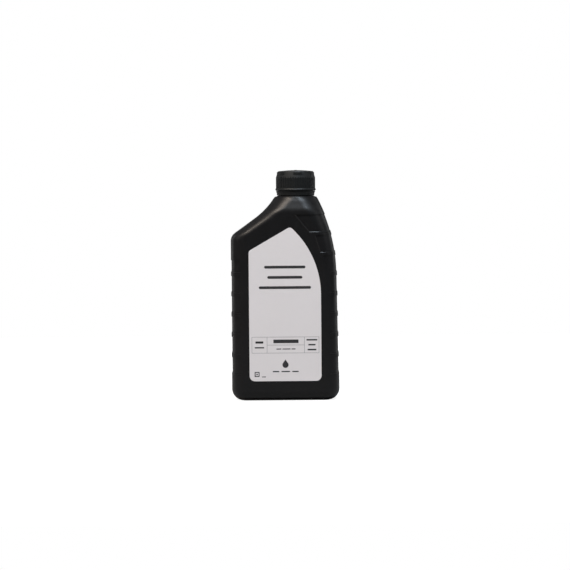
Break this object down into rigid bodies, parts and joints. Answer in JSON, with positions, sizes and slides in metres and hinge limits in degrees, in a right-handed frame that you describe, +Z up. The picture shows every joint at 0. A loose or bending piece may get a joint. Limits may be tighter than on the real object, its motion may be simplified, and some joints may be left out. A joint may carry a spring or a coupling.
{
  "type": "motor oil bottle",
  "caption": "Blown plastic oil bottle with an offset neck, ribbed side grips, a threaded screw cap with tamper band, and flat labels front and back.",
  "frame": {"origin": "middle of the footprint, on the floor", "axes": "+Z up, +X towards the side the neck stands on, front label faces -Y"},
  "size_m": [0.1102, 0.0542, 0.235],
  "materials": {
    "bottle_plastic": "satin black blown HDPE",
    "cap_plastic": "satin black moulded polypropylene",
    "liner_foam": "matt white foam wad",
    "label_film": "satin light grey printed film",
    "label_ink": "matt near-black print",
    "label_rule": "matt mid-grey ruled lines",
    "oil": "clear amber liquid"
  },
  "bodies": {
    "bottle": {"bottle": "bottle_plastic", "tamper_band": "cap_plastic", "front_label": "label_film", "back_label": "label_film", "oil_fill": "oil"},
    "liner": {"cap_liner": "liner_foam"},
    "cap": {"cap": "cap_plastic"}
  },
  "joints": [
    {"name": "liner_lift", "type": "slide", "parent": "bottle", "child": "liner", "axis": [0, 0, 1], "range_m": [0, 0.0189]},
    {"name": "cap_turn", "type": "hinge", "parent": "liner", "child": "cap", "pos_m": [0.0116, 0, 0.225], "axis": [0, 0, 1], "range_deg": [0, 1620]}
  ],
  "couplings": [
    {"joint": "liner_lift", "follows": "cap_turn", "m_per_rad": 0.00066845}
  ]
}
